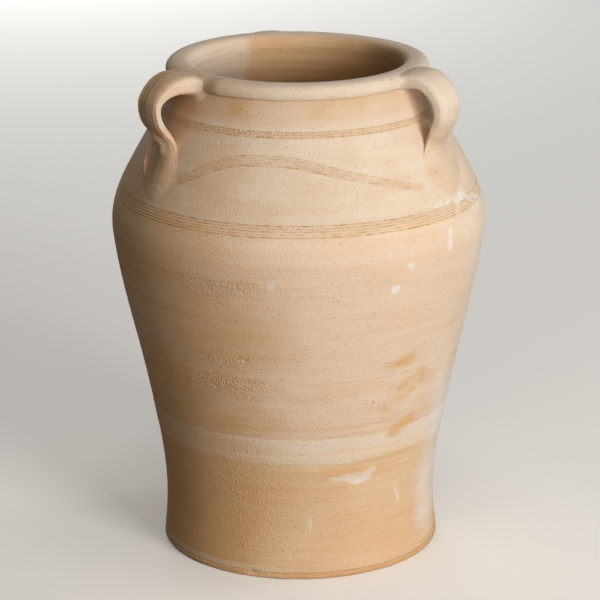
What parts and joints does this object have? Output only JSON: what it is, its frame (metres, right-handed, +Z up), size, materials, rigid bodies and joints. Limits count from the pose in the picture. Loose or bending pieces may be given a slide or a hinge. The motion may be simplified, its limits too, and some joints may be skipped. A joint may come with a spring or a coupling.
{
  "type": "storage jar",
  "caption": "Tall unglazed terracotta storage jar with a rolled lip, strap handles from lip to shoulder, combed bands and a combed wave, standing on a flat bottom.",
  "frame": {"origin": "centre of the flat bottom that the jar stands on", "axes": "+Z up along the jar's axis, -Y towards the side that the picture shows as the front"},
  "size_m": [0.3736, 0.3736, 0.502],
  "materials": {
    "wall_clay": "matte, unglazed",
    "rim_clay": "matte, unglazed",
    "handle_clay": "matte, unglazed",
    "slip": "matte, unglazed"
  },
  "bodies": {
    "root": {"floor_disc": "wall_clay", "floor_seam_coil": "wall_clay", "foot_band": "wall_clay", "lower_band": "wall_clay", "belly_band": "wall_clay", "upper_belly_band": "wall_clay", "shoulder_band": "wall_clay", "neck_band": "wall_clay", "rim_coil": "rim_clay", "handle_left": "handle_clay", "handle_right": "handle_clay", "handle_back": "handle_clay", "slip_floor_joint": "slip", "slip_foot_joint": "slip", "slip_lower_joint": "slip", "slip_belly_joint": "slip", "slip_upper_belly_joint": "slip", "slip_shoulder_joint": "slip", "slip_neck_joint": "slip", "slip_handle_left_root": "slip", "slip_handle_left_foot": "slip", "slip_handle_right_root": "slip", "slip_handle_right_foot": "slip", "slip_handle_back_root": "slip", "slip_handle_back_foot": "slip"}
  },
  "joints": []
}
